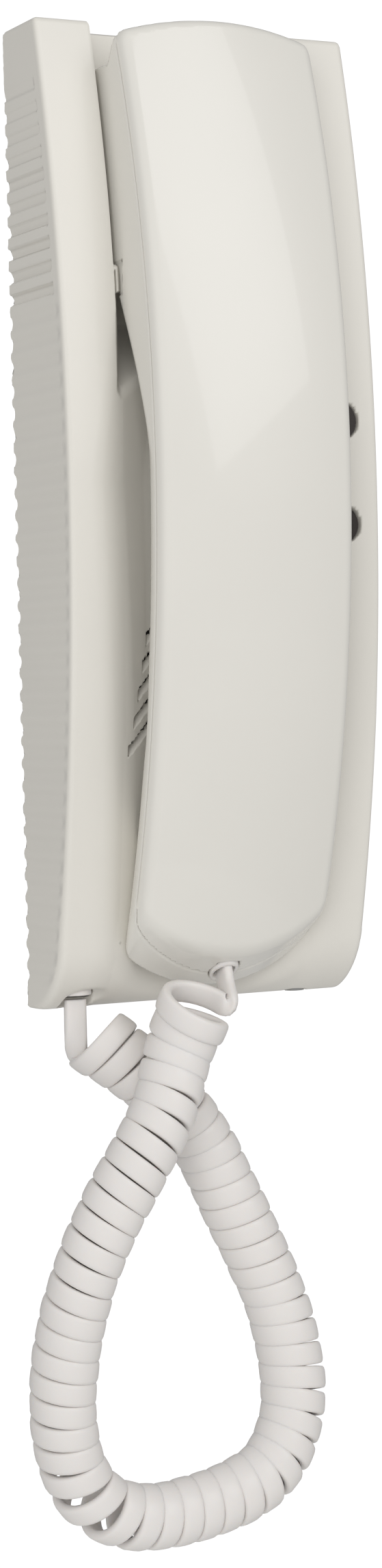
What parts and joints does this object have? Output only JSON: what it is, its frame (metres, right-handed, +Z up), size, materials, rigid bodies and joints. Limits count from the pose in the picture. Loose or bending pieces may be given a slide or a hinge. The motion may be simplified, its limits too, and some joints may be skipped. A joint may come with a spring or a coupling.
{
  "type": "slimline wall telephone",
  "caption": "Slim bowed telephone for a wall: a handset hung upright in the channel of a ribbed base, joined to it by a hanging curly cord.",
  "frame": {"origin": "on the wall plane, midway between the two wall-screw holes, at the middle of the base's height", "axes": "+Z up; +Y into the wall, so the phone stands out towards -Y; +X to the right of someone facing the phone"},
  "size_m": [0.084, 0.0458, 0.327],
  "materials": {
    "base_white": "fine matt, slightly yellowed white",
    "handset_white": "satin gloss white",
    "plate_grey": "matt moulded",
    "button_brown": "dark brown, satin",
    "black_plastic": "matt",
    "board_green": "coated laminate",
    "can_aluminium": "bright",
    "screw_steel": "zinc plated",
    "speaker_steel": "pressed steel",
    "speaker_paper": "black paper cone",
    "brass": "plain",
    "grey_rubber": "matt",
    "weight_iron": "plain",
    "wire_red": "insulated wire",
    "cord_white": "satin, flexible"
  },
  "bodies": {
    "base": {"base_cover": "base_white", "wall_plate": "plate_grey", "cover_screw": "screw_steel", "circuit_board": "board_green", "board_screws": "screw_steel", "button_switches": "black_plastic", "board_capacitor": "can_aluminium", "board_transformer": "black_plastic", "terminal_block": "black_plastic", "terminal_screws": "brass", "call_speaker_frame": "speaker_steel", "call_speaker_cone": "speaker_paper", "call_speaker_magnet": "speaker_steel", "hook_bracket": "speaker_steel", "hook_pin": "screw_steel", "hook_microswitch": "black_plastic", "base_cord_grommet": "cord_white", "base_cord_tail": "cord_white", "speaker_leads": "wire_red", "base_cord_lead": "cord_white", "curly_cord": "cord_white"},
    "hook": {"hook_lever": "handset_white"},
    "button_upper": {"upper_button": "button_brown"},
    "button_lower": {"lower_button": "button_brown"},
    "handset": {"handset_front_shell": "handset_white", "handset_back_shell": "handset_white", "receiver_capsule": "can_aluminium", "receiver_gasket": "grey_rubber", "microphone_capsule": "can_aluminium", "microphone_boot": "grey_rubber", "balance_weight": "weight_iron", "handset_screws": "screw_steel", "handset_cord_grommet": "cord_white", "receiver_leads": "wire_red", "microphone_leads": "wire_red"}
  },
  "joints": [
    {"name": "handset_lift_off", "type": "slide", "parent": "base", "child": "handset", "axis": [0, -1, 0], "range_m": [0, 0.04], "deforming": ["curly_cord"]},
    {"name": "hook_swing", "type": "hinge", "parent": "base", "child": "hook", "pos_m": [0, -0.0115, 0.021], "axis": [1, 0, 0], "range_deg": [0, 8]},
    {"name": "upper_button_press", "type": "slide", "parent": "base", "child": "button_upper", "axis": [0, 1, 0], "range_m": [0, 0.0012], "stiffness_N_per_m": 400},
    {"name": "lower_button_press", "type": "slide", "parent": "base", "child": "button_lower", "axis": [0, 1, 0], "range_m": [0, 0.0012], "stiffness_N_per_m": 400}
  ],
  "couplings": [
    {"joint": "hook_swing", "follows": "handset_lift_off", "rad_per_m": 3.4}
  ]
}
